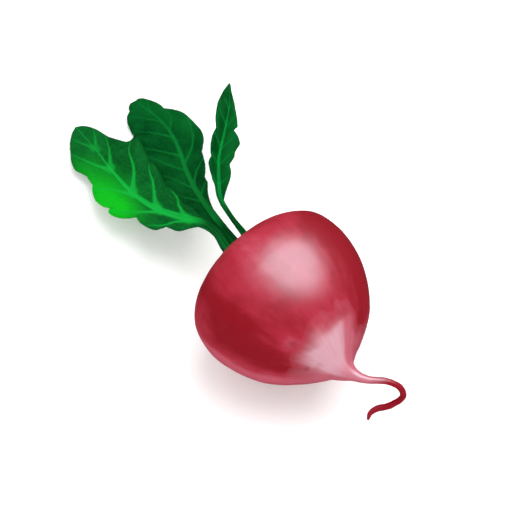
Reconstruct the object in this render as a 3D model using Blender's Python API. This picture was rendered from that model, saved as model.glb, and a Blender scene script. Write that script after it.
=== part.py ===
"""A round red radish with its taproot and three leaves, lying on its side, at real size.

The root's axis runs along +X from the crown to the taproot. The origin is the middle of the
small flat spot that the root rests on, and the surface below it is Z = 0. Lengths named
here are millimetres, which MM turns into metres as each mesh is made.
"""

import math

import bmesh
import bpy
import numpy as np

MM = 0.001
SHARP_EDGE = math.radians(50)

# Root
ROOT_COLOUR = (0.30, 0.012, 0.03, 1.0)
ROOT_ROUGHNESS = 0.38
AXIS_HEIGHT = 24.4
ROOT_SIDES = 36
TAIL_SIDES = 12
TAIL_BELOW_RADIUS = 4.0
STEPS_BETWEEN_ROOT_ROWS = 3
# Along the axis, and the radius there, from the leaf crown over the shoulder to the neck.
BULB_PROFILE = [
    (-16.0, 3.0),
    (-16.0, 5.6),
    (-15.0, 7.4),
    (-14.3, 9.4),
    (-13.6, 13.2),
    (-12.1, 18.3),
    (-7.3, 23.7),
    (0.0, 25.2),
    (7.0, 24.1),
    (13.0, 21.8),
    (18.5, 18.1),
    (23.0, 13.6),
]
# Centre and radius along the neck and the thin taproot, which droops and curls back under itself.
TAPROOT = [
    (26.5, -0.85, 23.95, 8.5),
    (29.3, -1.7, 23.65, 4.25),
    (32.5, -0.8, 23.65, 1.9),
    (35.8, 0.9, 23.65, 1.15),
    (39.8, 5.2, 22.65, 0.9),
    (42.4, 7.5, 20.05, 0.9),
    (43.6, 8.2, 15.85, 0.9),
    (43.0, 7.7, 11.95, 0.9),
    (41.3, 5.4, 8.55, 0.95),
    (39.3, 2.9, 6.95, 0.9),
    (39.0, 1.0, 6.25, 0.7),
    (39.8, -0.6, 5.45, 0.35),
]
# Each swelling of the root: share of the radius, lobes round the axis, turn per mm along it, start angle.
ROOT_SWELLINGS = [(0.006, 2, 0.03, 0.6), (0.004, 3, -0.05, 2.1), (0.003, 5, 0.08, 4.0)]
SWELLING_FROM_RADIUS = 8.0

# Leaves
LEAF_ROUGHNESS = 0.5
BLADE_THICKNESS = 0.7
PETIOLE_GROOVE = 0.6
PUCKER = 0.35
PUCKER_FULL_AT = 3.0
WAVE_FULL_AT = 10.0
STEPS_PER_SPINE_POINT = 24
STEPS_PER_LOBE_POINT = 8
ROW_SPACING = 1.7
NARROWEST_ROW = 0.7
PETIOLE_ROW_SPACING = 2.6
# Columns from the midrib to one margin: those over the rib as shares of its half width, those
# of the blade as shares of the rest, and all of them where the blade has narrowed to the rib.
RIB_COLUMNS = [0.0, 0.55, 1.0]
BLADE_COLUMNS = [0.28, 0.55, 0.8, 1.0]
CLOSED_COLUMNS = [0.0, 0.3, 0.55, 0.75, 0.9, 0.98, 1.0]
# How many half widths of the rib the blade reaches where it begins to open, and where it is open.
OPENING_FROM, OPEN_AT = 1.3, 3.3
LEAST_BLADE = 1.02

# spine: x, y, z from the petiole's foot at the crown to the blade's tip.
# section: distance along the spine, then how the blade's right and left halves rise from the
#   midrib (degrees) and how they bend down again further out (degrees per mm).
# rib: distance along the spine, half width, depth below the blade, height above it.
# right, left: lobes of the margin from the blade's foot to its tip, each from notch to notch,
#   as points (along the spine, across it). A lobe starts where the one before it ends.
# veins: where the side veins leave the midrib, right and left. lean and sweep: how far forward
#   they run for each mm across, and for each mm squared.
# wave: height of the margin's waves, their length, and the offset of the left side's.
LEAVES = {
    "leaf_front": {
        "colour": (0.006, 0.13, 0.022, 1.0),
        "spine": [
            (-16.6, -1.6, 24.95),
            (-20.6, -1.2, 24.75),
            (-26.0, 0.2, 23.75),
            (-31.5, 0.2, 21.55),
            (-39.4, -1.9, 17.4),
            (-49.3, -4.2, 12.9),
            (-60.2, -4.6, 8.8),
            (-72.9, -3.1, 5.1),
            (-85.8, -0.9, 2.2),
            (-96.4, 0.0, 0.7),
        ],
        "section": [
            (16, 0, 0, 0.0, 0.0),
            (26, 10, 9, 0.8, 0.8),
            (60, 16, 8, 1.0, 1.1),
            (74, 14, 7, 1.0, 1.1),
            (88, 4, 3, 0.5, 0.5),
        ],
        "rib": [
            (0, 1.6, 1.3, 0.8),
            (6, 1.4, 1.2, 0.8),
            (17, 1.3, 1.1, 0.7),
            (30, 1.1, 0.9, 0.15),
            (60, 0.8, 0.5, 0.05),
            (88, 0.5, 0.1, 0.0),
        ],
        "right": [
            [(16.5, 1.35), (20.0, 2.6), (24.0, 4.2), (28.0, 4.8)],
            [(31.0, 6.4), (36.0, 7.8), (40.5, 8.0)],
            [(44.0, 9.6), (50.0, 10.8), (55.0, 10.8)],
            [(59.0, 11.8), (64.5, 12.4), (68.6, 11.9), (69.4, 9.4)],
            [(71.2, 7.3), (74.0, 5.9), (78.0, 5.0), (82.0, 3.4), (84.2, 1.9), (84.9, 0.6)],
        ],
        "left": [
            [(16.5, -1.35), (19.5, -3.0), (22.5, -4.8), (27.6, -4.8)],
            [(30.0, -7.2), (34.8, -7.2), (38.6, -5.8)],
            [(40.5, -7.6), (43.5, -9.5), (46.2, -10.1), (46.8, -9.0)],
            [(48.8, -10.3), (53.5, -10.1), (57.0, -9.1), (58.6, -8.0)],
            [(61.4, -7.8), (64.0, -7.4)],
            [(66.4, -8.3), (68.6, -9.3), (72.5, -8.8), (79.0, -6.0), (83.6, -2.4), (84.9, -0.6)],
        ],
        "veins": ([24.0, 35.6, 48.0, 62.5, 72.6], [21.2, 33.2, 46.6, 61.5, 73.5]),
        "lean": 1.0,
        "sweep": 0.07,
        "wave": (0.9, 12.5, 2.0),
    },
    "leaf_back": {
        "colour": (0.001, 0.075, 0.014, 1.0),
        "spine": [
            (-16.6, 2.0, 23.35),
            (-21.0, 2.3, 23.05),
            (-27.4, 3.5, 21.05),
            (-36.8, 6.2, 16.4),
            (-49.1, 10.5, 9.5),
            (-59.4, 14.9, 5.1),
            (-65.8, 18.0, 3.6),
            (-73.1, 20.7, 2.2),
            (-80.6, 21.8, 1.4),
            (-86.8, 21.3, 1.0),
            (-91.8, 21.0, 0.7),
        ],
        "section": [
            (12, 0, -6, 0.0, 0.0),
            (22, 3, -7, 0.3, 0.2),
            (30, 9, 3, 0.8, 0.6),
            (58, 9, -2, 1.0, 0.1),
            (70, 7, 3, 0.8, 0.1),
            (78, 5, 3, 0.6, 0.4),
            (85, 2, 2, 0.3, 0.3),
        ],
        "rib": [
            (0, 1.6, 1.3, 0.8),
            (6, 1.4, 1.2, 0.8),
            (20, 1.3, 1.1, 0.7),
            (34, 1.0, 0.8, 0.15),
            (60, 0.8, 0.5, 0.05),
            (85, 0.5, 0.1, 0.0),
        ],
        "right": [
            [(22.0, 1.3), (27.0, 1.9), (32.5, 3.0), (37.5, 4.4), (40.8, 4.4)],
            [(43.6, 5.4), (48.5, 6.4), (53.8, 6.6)],
            [(57.5, 8.4), (62.4, 8.9), (67.0, 8.0), (71.8, 6.0), (74.0, 4.1)],
            [(76.6, 4.2), (79.5, 3.5), (82.2, 2.4), (83.0, 1.6)],
            [(83.3, 1.2), (83.4, 0.6)],
        ],
        "left": [
            [(12.6, -1.35), (16.5, -3.0), (20.5, -4.2), (25.0, -5.2), (30.5, -6.3), (34.5, -5.4)],
            [(38.5, -8.0), (44.0, -9.0), (48.5, -8.4)],
            [(53.0, -10.6), (59.0, -12.4), (65.0, -13.4), (69.0, -13.2), (69.8, -11.4)],
            [(71.6, -10.2), (75.2, -9.6), (78.4, -7.9), (80.8, -5.6), (81.4, -4.2)],
            [(82.8, -3.4), (83.6, -2.0), (83.4, -0.6)],
        ],
        "veins": ([30.6, 38.4, 50.0, 66.0, 76.4], [27.0, 36.0, 46.8, 53.6, 62.5, 70.6]),
        "lean": 0.9,
        "sweep": 0.04,
        "wave": (0.8, 12.0, 3.1),
    },
    "leaf_young": {
        "colour": (0.004, 0.1, 0.02, 1.0),
        "spine": [
            (-16.7, 4.3, 26.35),
            (-19.9, 4.7, 27.15),
            (-24.4, 4.9, 28.45),
            (-30.8, 5.9, 30.45),
            (-34.9, 8.7, 32.35),
            (-39.5, 12.7, 33.85),
            (-44.9, 19.4, 35.15),
            (-51.2, 26.7, 35.55),
            (-57.6, 32.0, 34.95),
        ],
        "section": [
            (10, 30, 30, 0.0, 0.0),
            (18, 42, 50, 1.5, 1.5),
            (36, 40, 52, 2.5, 2.2),
            (54, 30, 38, 2.0, 2.0),
        ],
        "rib": [
            (0, 1.1, 0.6, 0.5),
            (5, 0.85, 0.5, 0.4),
            (9, 0.65, 0.5, 0.4),
            (14, 0.75, 0.5, 0.3),
            (24, 0.75, 0.4, 0.05),
            (54, 0.45, 0.1, 0.0),
        ],
        "right": [
            [(14.0, 0.85), (17.0, 2.7), (21.0, 4.5), (24.2, 4.2)],
            [(26.2, 5.5), (28.4, 5.8), (30.6, 6.7), (33.0, 5.6), (35.6, 3.2)],
            [(36.0, 4.4), (38.0, 4.1), (43.0, 2.3), (48.6, 0.9), (52.6, 0.45)],
        ],
        "left": [
            [(12.6, -0.75), (14.8, -1.3), (18.5, -1.8), (22.4, -3.5), (24.6, -4.0), (26.6, -3.1)],
            [(28.4, -3.8), (32.2, -4.2), (35.0, -3.5)],
            [(38.4, -4.4), (43.6, -4.3), (48.8, -2.5), (52.6, -0.45)],
        ],
        "veins": ([18.6, 24.4, 29.4, 36.5, 43.0], [18.0, 24.4, 29.4, 37.4, 43.0]),
        "lean": 0.6,
        "sweep": 0.05,
        "wave": (0.45, 8.0, 1.2),
    },
}


def smooth_curve(rows, steps, measured=3):
    """Points on a smooth curve through rows, whose first measured columns are lengths."""
    rows = np.asarray(rows, float)
    rows = np.vstack([2 * rows[0] - rows[1], rows, 2 * rows[-1] - rows[-2]])
    share = np.linspace(0.0, 1.0, steps, endpoint=False)[:, None]
    points = []
    for before, start, end, after in zip(rows, rows[1:], rows[2:], rows[3:]):
        gap_in, gap, gap_out = (
            max(math.sqrt(np.linalg.norm((b - a)[:measured])), 1e-3)
            for a, b in ((before, start), (start, end), (end, after))
        )
        leave = (start - before) / gap_in - (end - before) / (gap_in + gap) + (end - start) / gap
        arrive = (end - start) / gap - (after - start) / (gap + gap_out) + (after - end) / gap_out
        points.append(
            (2 * share**3 - 3 * share**2 + 1) * start
            + (share**3 - 2 * share**2 + share) * gap * leave
            + (3 * share**2 - 2 * share**3) * end
            + (share**3 - share**2) * gap * arrive
        )
    return np.vstack(points + [rows[-2:-1]])


def distances_along(points):
    return np.concatenate([[0.0], np.cumsum(np.linalg.norm(np.diff(points, axis=0), axis=1))])


def unit(vectors):
    return vectors / np.linalg.norm(vectors, axis=-1, keepdims=True)


def columns_at(places, table_places, table):
    """Each column of a table read between its rows."""
    table = np.asarray(table, float)
    return np.stack([np.interp(places, table_places, column) for column in table.T], axis=-1)


def material_of(name, colour, roughness):
    material = bpy.data.materials.new(name)
    material.use_nodes = True
    shader = material.node_tree.nodes["Principled BSDF"]
    shader.inputs["Base Color"].default_value = colour
    shader.inputs["Roughness"].default_value = roughness
    shader.inputs["Metallic"].default_value = 0.0
    return material


def object_of(name, mesh, origin, material, parent):
    """A smooth-shaded object whose own origin is at a point given in millimetres."""
    for polygon in mesh.polygons:
        polygon.use_smooth = True
    mesh.set_sharp_from_angle(angle=SHARP_EDGE)
    mesh.materials.append(material)
    made = bpy.data.objects.new(name, mesh)
    made.location = [value * MM for value in origin]
    made.parent = parent
    bpy.context.scene.collection.objects.link(made)
    return made


def root_rows():
    """Centre and radius of each ring of the root, and which way the ring faces."""
    bulb = [(along, 0.0, AXIS_HEIGHT, radius) for along, radius in BULB_PROFILE]
    rows = smooth_curve(bulb + TAPROOT, STEPS_BETWEEN_ROOT_ROWS, measured=4)
    centres, radii = rows[:, :3], rows[:, 3]
    facing = np.gradient(centres, axis=0)
    in_bulb = (centres[:, 0] < 0) | (radii > TAIL_BELOW_RADIUS)
    facing[in_bulb] = (1.0, 0.0, 0.0)
    return centres, radii, unit(facing)


def swelling(angle, along, radius):
    share = sum(
        size * math.cos(lobes * angle + turn * along + start)
        for size, lobes, turn, start in ROOT_SWELLINGS
    )
    return 1.0 + share * min(1.0, radius / SWELLING_FROM_RADIUS) ** 2


def bridge_wide_to_narrow(bm, wide, narrow):
    """Joins a ring to one with a third of its points."""
    for side in range(len(narrow)):
        first, second, third, fourth = (wide[(3 * side + k) % len(wide)] for k in range(4))
        near, far = narrow[side], narrow[(side + 1) % len(narrow)]
        bm.faces.new((first, near, second))
        bm.faces.new((second, near, far, third))
        bm.faces.new((third, far, fourth))


def bridge_alike(bm, ring, following):
    for side in range(len(ring)):
        after = (side + 1) % len(ring)
        bm.faces.new((ring[side], following[side], following[after], ring[after]))


def root_mesh():
    """The swollen root and its taproot as one turned and lofted skin, cut flat where it rests."""
    centres, radii, facing = root_rows()
    bm = bmesh.new()
    rings = []
    up = np.array([0.0, 0.0, 1.0])
    for centre, radius, direction in zip(centres, radii, facing):
        up = unit(up - direction * up.dot(direction))
        aside = np.cross(up, direction)
        sides = TAIL_SIDES if centre[0] > 0 and radius < TAIL_BELOW_RADIUS else ROOT_SIDES
        ring = []
        for side in range(sides):
            angle = 2 * math.pi * side / sides
            reach = radius * swelling(angle, centre[0], radius)
            point = centre + reach * (math.cos(angle) * up + math.sin(angle) * aside)
            ring.append(bm.verts.new(point * MM))
        rings.append(ring)
    for ring, following in zip(rings, rings[1:]):
        if len(ring) == len(following):
            bridge_alike(bm, ring, following)
        else:
            bridge_wide_to_narrow(bm, ring, following)
    bm.faces.new(rings[0])
    bm.faces.new(reversed(rings[-1]))
    everything = bm.verts[:] + bm.edges[:] + bm.faces[:]
    bmesh.ops.bisect_plane(bm, geom=everything, plane_co=(0, 0, 0), plane_no=(0, 0, -1), clear_outer=True)
    bmesh.ops.holes_fill(bm, edges=[edge for edge in bm.edges if edge.is_boundary])
    bmesh.ops.recalc_face_normals(bm, faces=bm.faces[:])
    mesh = bpy.data.meshes.new("root")
    bm.to_mesh(mesh)
    bm.free()
    return mesh


class Leaf:
    """One leaf's surface, worked out from its design: a midrib with a blade that rises from it."""

    def __init__(self, design):
        self.design = design
        self.spine = smooth_curve(design["spine"], STEPS_PER_SPINE_POINT)
        self.places = distances_along(self.spine)
        self.length = self.places[-1]
        self.forward = unit(np.gradient(self.spine, self.places, axis=0))

    def frame(self, along):
        """Point on the midrib, and the directions across and upward from it."""
        point = columns_at(along, self.places, self.spine)
        forward = unit(columns_at(along, self.places, self.forward))
        point = point + forward * np.maximum(along - self.length, 0.0)[..., None]
        across = unit(np.cross(forward, (0.0, 0.0, 1.0)))
        return point, across, np.cross(across, forward)

    def vein_count(self, along, across):
        """How many side veins lie behind a point, whole numbers being on a vein."""
        out = np.abs(across)
        station = along - self.design["lean"] * out - self.design["sweep"] * out**2
        right, left = (
            np.interp(station, veins, np.arange(len(veins))) for veins in self.design["veins"]
        )
        return np.where(across > 0, right, left)

    def relief(self, along, across):
        """Waves at the margin, and the blade puckered up between its side veins."""
        height, length, offset = self.design["wave"]
        out = np.abs(across)
        station = along - self.design["lean"] * out
        turn = 2 * math.pi * (station + np.where(across < 0, offset, 0.0)) / length
        waves = height * (out / WAVE_FULL_AT) ** 2 * np.sin(turn)
        between = np.sin(math.pi * self.vein_count(along, across)) ** 2
        return waves + PUCKER * between * np.minimum(out / PUCKER_FULL_AT, 1.0)

    def surface(self, along, across):
        """The middle of the blade's thickness."""
        point, sideways, upward = self.frame(along)
        section = np.asarray(self.design["section"], float)
        rise_right, rise_left, bend_right, bend_left = columns_at(along, section[:, 0], section[:, 1:]).T
        rise = np.radians(np.where(across > 0, rise_right.T, rise_left.T))
        bend = np.radians(np.where(across > 0, bend_right.T, bend_left.T)) + 1e-6
        out = np.abs(across)
        sideways_reach = np.sign(across) * (np.sin(rise) - np.sin(rise - bend * out)) / bend
        upward_reach = (np.cos(rise - bend * out) - np.cos(rise)) / bend + self.relief(along, across)
        return point + sideways * sideways_reach[..., None] + upward * upward_reach[..., None]

    def margin(self, side):
        """Points of one margin, and the place on the midrib that each is reached from."""
        lobes = []
        start = None
        for lobe in self.design[side]:
            points = lobe if start is None else [start] + lobe
            start = lobe[-1]
            lobes.append(smooth_curve(points, STEPS_PER_LOBE_POINT, measured=2))
        lean = self.design["lean"]
        reached = [lobe[[0, -1], 0] - lean * np.abs(lobe[[0, -1], 1]) for lobe in lobes]
        reached[0][0] = lobes[0][0][0]
        reached[-1][1] = self.length
        stations = []
        for lobe, (first, last) in zip(lobes, reached):
            share = distances_along(lobe)
            stations.append(first + (last - first) * share / share[-1])
        notches = [first for first, _ in reached]
        return np.vstack(lobes), np.concatenate(stations), notches

    def rows(self):
        """Places on the midrib where the leaf gets a row of points, the notches among them."""
        notches = sorted(set(self.margin("right")[2] + self.margin("left")[2] + [self.length]))
        petiole = np.linspace(0.0, notches[0], round(notches[0] / PETIOLE_ROW_SPACING) + 1)
        places = list(petiole)
        for place in notches[1:]:
            gap = place - places[-1]
            if gap < NARROWEST_ROW:
                continue
            count = max(1, round(gap / ROW_SPACING))
            places += list(places[-1] + gap * np.arange(1, count + 1) / count)
        return np.array(places)

    def half_grid(self, places, side):
        """Rows of points (along, across) from the midrib to one margin."""
        sign = 1.0 if side == "right" else -1.0
        rib = np.asarray(self.design["rib"], float)
        rib_width = np.interp(places, rib[:, 0], rib[:, 1])
        margin, stations, _ = self.margin(side)
        edge_along = np.interp(places, stations, margin[:, 0])
        edge_across = np.interp(places, stations, np.abs(margin[:, 1]))
        in_petiole = places <= stations[0]
        edge_along = np.where(in_petiole, places, edge_along)
        edge_across = np.where(in_petiole, rib_width, np.maximum(edge_across, LEAST_BLADE * rib_width))
        reach = edge_across[:, None]
        width = rib_width[:, None]
        opened = np.clip((reach / width - OPENING_FROM) / (OPEN_AT - OPENING_FROM), 0.0, 1.0)
        closed_columns = reach * np.array(CLOSED_COLUMNS)
        rib_part = width * np.array(RIB_COLUMNS)
        blade_part = width + (reach - width) * np.array(BLADE_COLUMNS)
        across = (1 - opened) * closed_columns + opened * np.hstack([rib_part, blade_part])
        share = across / reach
        along = places[:, None] + (edge_along - places)[:, None] * share
        return along, sign * across

    def solid(self):
        """Rows of the upper and the lower face."""
        places = self.rows()
        right = self.half_grid(places, "right")
        left = self.half_grid(places, "left")
        along = np.hstack([left[0][:, :0:-1], right[0]])
        across = np.hstack([left[1][:, :0:-1], right[1]])
        middle = self.surface(along, across)
        normal = unit(np.cross(np.gradient(middle, axis=1), np.gradient(middle, axis=0)))
        rib = np.asarray(self.design["rib"], float)
        width, depth, height = columns_at(places, rib[:, 0], rib[:, 1:]).T[:, :, None]
        inside = np.clip(1 - (across / width) ** 2, 0.0, 1.0)
        groove = np.minimum(PETIOLE_GROOVE, height) * inside**2
        above = BLADE_THICKNESS / 2 + height * np.sqrt(inside) - groove
        below = BLADE_THICKNESS / 2 + depth * np.sqrt(inside)
        return middle + normal * above[..., None], middle - normal * below[..., None]


def leaf_mesh(name, leaf):
    """A closed skin over both faces of a leaf, split into triangles alike on both."""
    foot = np.array(leaf.design["spine"][0])
    upper, lower = leaf.solid()
    bm = bmesh.new()
    grids = [
        [[bm.verts.new((point - foot) * MM) for point in row] for row in face] for face in (upper, lower)
    ]
    row_count, column_count = upper.shape[:2]
    for grid, turned in zip(grids, (False, True)):
        for row in range(row_count - 1):
            for column in range(column_count - 1):
                near, far = grid[row], grid[row + 1]
                for corners in (
                    (near[column], near[column + 1], far[column + 1]),
                    (near[column], far[column + 1], far[column]),
                ):
                    bm.faces.new(reversed(corners) if turned else corners)
    top, bottom = grids
    edges_round = (
        [(row, 0) for row in range(row_count)]
        + [(row_count - 1, column) for column in range(1, column_count)]
        + [(row, column_count - 1) for row in range(row_count - 2, -1, -1)]
        + [(0, column) for column in range(column_count - 2, 0, -1)]
    )
    for here, onward in zip(edges_round, edges_round[1:] + edges_round[:1]):
        above, below = ([grid[row][column] for row, column in (here, onward)] for grid in (top, bottom))
        bm.faces.new(above + below[::-1])
    mesh = bpy.data.meshes.new(name)
    bm.to_mesh(mesh)
    bm.free()
    return mesh


def clear_scene():
    for item in list(bpy.data.objects):
        bpy.data.objects.remove(item, do_unlink=True)


def build():
    clear_scene()
    radish = bpy.data.objects.new("radish", None)
    bpy.context.scene.collection.objects.link(radish)
    skin = material_of("root_skin", ROOT_COLOUR, ROOT_ROUGHNESS)
    object_of("root", root_mesh(), (0, 0, 0), skin, radish)
    for name, design in LEAVES.items():
        green = material_of(name, design["colour"], LEAF_ROUGHNESS)
        object_of(name, leaf_mesh(name, Leaf(design)), design["spine"][0], green, radish)


build()
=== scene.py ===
"""The looks of a round red radish with its taproot and three leaves, lying on a pale floor.

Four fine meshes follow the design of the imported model's four solids: the root with its crown and
taproot, and three leaves with their veins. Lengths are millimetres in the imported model's frame,
and MM turns them into metres as each mesh is made.
"""

import math

import bpy
import numpy as np
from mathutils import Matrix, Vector, noise


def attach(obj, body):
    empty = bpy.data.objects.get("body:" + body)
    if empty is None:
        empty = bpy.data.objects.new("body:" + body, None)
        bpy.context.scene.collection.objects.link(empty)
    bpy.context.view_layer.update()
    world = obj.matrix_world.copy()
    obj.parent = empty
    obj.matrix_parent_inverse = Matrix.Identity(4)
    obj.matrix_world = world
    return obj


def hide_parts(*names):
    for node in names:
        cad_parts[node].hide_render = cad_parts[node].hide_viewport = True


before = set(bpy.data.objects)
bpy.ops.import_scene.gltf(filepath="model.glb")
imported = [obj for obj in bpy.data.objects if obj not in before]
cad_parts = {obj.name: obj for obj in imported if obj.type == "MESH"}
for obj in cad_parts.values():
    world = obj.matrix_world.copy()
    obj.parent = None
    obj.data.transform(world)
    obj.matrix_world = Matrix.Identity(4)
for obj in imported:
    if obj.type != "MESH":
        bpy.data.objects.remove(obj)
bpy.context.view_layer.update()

MM = 0.001

# Root design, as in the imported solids
AXIS_HEIGHT = 24.4
# Along the axis, and the radius there, from the leaf crown over the shoulder to the neck.
BULB_PROFILE = [
    (-16, 0), (-16, 3), (-16, 5.6), (-15, 7.4), (-14.3, 9.4), (-13.6, 13.2), (-12.1, 18.3), (-7.3, 23.7),
    (0, 25.2), (7, 24.1), (13, 21.8), (18.5, 18.1), (23, 13.6),
]
# Centre and radius along the neck and the thin taproot, which curls back under itself.
TAPROOT = [
    (26.5, -0.85, 23.95, 8.5), (29.3, -1.7, 23.65, 4.25), (32.5, -0.8, 23.65, 1.9),
    (35.8, 0.9, 23.65, 1.15), (39.8, 5.2, 22.65, 0.9), (42.4, 7.5, 20.05, 0.9), (43.6, 8.2, 15.85, 0.9),
    (43, 7.7, 11.95, 0.9), (41.3, 5.4, 8.55, 0.95), (39.3, 2.9, 6.95, 0.9), (39, 1, 6.25, 0.7),
    (39.8, -0.6, 5.45, 0.35),
]
# Swellings of the root: share of the radius, lobes round it, turn per mm along it, start angle.
ROOT_SWELLINGS = [(0.006, 2, 0.03, 0.6), (0.004, 3, -0.05, 2.1), (0.003, 5, 0.08, 4)]
SWELLING_FROM_RADIUS = 8
# The rings turn from the bulb's axis to the taproot's own way as their radius falls through these.
NECK_RADII = (1, 6)
# Gives a direction to the first rings, which share one centre.
LEAST_FORWARD = (1e-9, 0, 0)

# Root surface
ROOT_STEPS = 30
BULB_ROW_SPACING, TAIL_ROW_SPACING = 0.42, 0.28
# Points round the root, for rings wider than each radius.
ROOT_SIDES = [(6, 270), (2, 90), (0, 30)]
# Each layer of lumps: how wide they are and how high, on rings of this radius and above.
ROOT_LUMPS = [(11, 0.2), (4, 0.05)]
LUMPS_FULL_AT = 12
# Furrows: height, how close they are round the root and along it, and the radii between which they
# grow. They deepen from their least share over a run and between radii near the neck.
FURROW_HEIGHT, FURROWS_CLOSE, FURROW_RADII = 0.09, (9, 0.06), (0.5, 6)
LEAST_FURROW, NECK_FURROWS_RUN, NECK_FURROWS_RADII = 0.25, (30, 44), (1.2, 5)
# Wrinkles of the taproot, given the same way, and the run over which they begin.
WRINKLE_HEIGHT, WRINKLES_CLOSE, WRINKLES_RUN = 0.07, (0.6, 1.1), (46, 52)
# Scars of lost side roots: place along the axis, angle round it (degrees, up is 0, +Y is 90),
# half length round the root, half length along it, depth.
ROOT_SCARS = [
    (19.6, -43, 1, 0.8, 0.2), (3.5, -62, 1.5, 0.28, 0.12), (11, -54, 1.1, 0.25, 0.1),
    (24.6, -68, 0.9, 0.4, 0.1), (-4, -70, 1.2, 0.25, 0.1), (1.5, 112, 1.5, 0.28, 0.16),
    (8.5, 121, 1.9, 0.32, 0.2), (15.5, 117, 1.2, 0.3, 0.16), (20.5, 126, 1, 0.35, 0.2),
    (25.5, 118, 0.8, 0.3, 0.16),
]
# A scar's raised rim as a share of its depth, and how far its rim and its colour spread.
SCAR_RIM, SCAR_RIM_SPREAD, SCAR_COLOUR_SPREAD = 0.45, 4, 1.6
# Buds of the next leaves on the crown: y, z, half width, height.
CROWN_BUDS = [
    (1.4, 26.9, 0.9, 0.6), (2.3, 25.7, 0.6, 0.35), (-2.8, 21.8, 1.1, 0.5), (-1.6, 27.7, 1, 0.35),
]
# Where the crown ends along the axis, and where its relief and its colour fade out from the axis.
CROWN_PLACE, CROWN_RELIEF_EDGE, CROWN_COLOUR_EDGE = -12, (5.2, 7.5), (5.6, 8.6)
# Lumps of the crown: how wide and high. Rings of old leaf scars: how close, high and wavy.
CROWN_LUMPS, CROWN_RINGS = (1.4, 0.12), (3.1, 0.18, 1.3)
# Collar round each petiole's foot: height, where it starts in half sizes of the foot, and fading.
COLLAR = (0.5, 0.9, 0.2)
FURROW_SEED, WRINKLE_SEED, CROWN_SEED = 5, 9, 21
# Where the skin is paler or deeper, mostly painted light and shade: the deeper patches are painted
# shade on the bulb's shaded sides and upper edge, the rosy band on its underside is painted light
# bounced from the floor, and the paler spread round the top is part of a painted highlight; the pale
# ring round one scar is the skin's own. Each: place along the axis, angle round it (degrees), reach
# along and round (mm, degrees), and how much.
ROOT_PAINTED_LIGHT_AND_TONES = [
    (6, -106, 24, 22, 1.7), (5, -62, 12, 20, -0.7), (17, -75, 7, 14, -0.55), (8, 52, 14, 20, -0.88),
    (-6, -74, 6, 10, 0.5), (-2, 34, 6, 20, -0.4), (-7, -10, 5, 14, 0.35), (17, -14, 6, 36, 0.2),
    (2, -20, 12, 40, 0.26), (19.2, -44, 2.6, 9, 0.8),
]
# The pale lower end: angle round the axis (degrees), and how far along it the skin turns pale there.
PALE_EDGE = [
    (-180, 26), (-120, 25), (-88, 23.6), (-64, 24.7), (-49, 24.2), (-36, 22.5), (-16, 22.7), (0, 23),
    (14, 22.9), (26, 24.2), (40, 27), (70, 27.5), (120, 26), (180, 26),
]
# The side where the pale end is palest, and how far from it the skin begins to turn rosy and has
# turned (degrees).
PALE_MIDDLE, ROSY_BETWEEN = -28, (24, 52)
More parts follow.
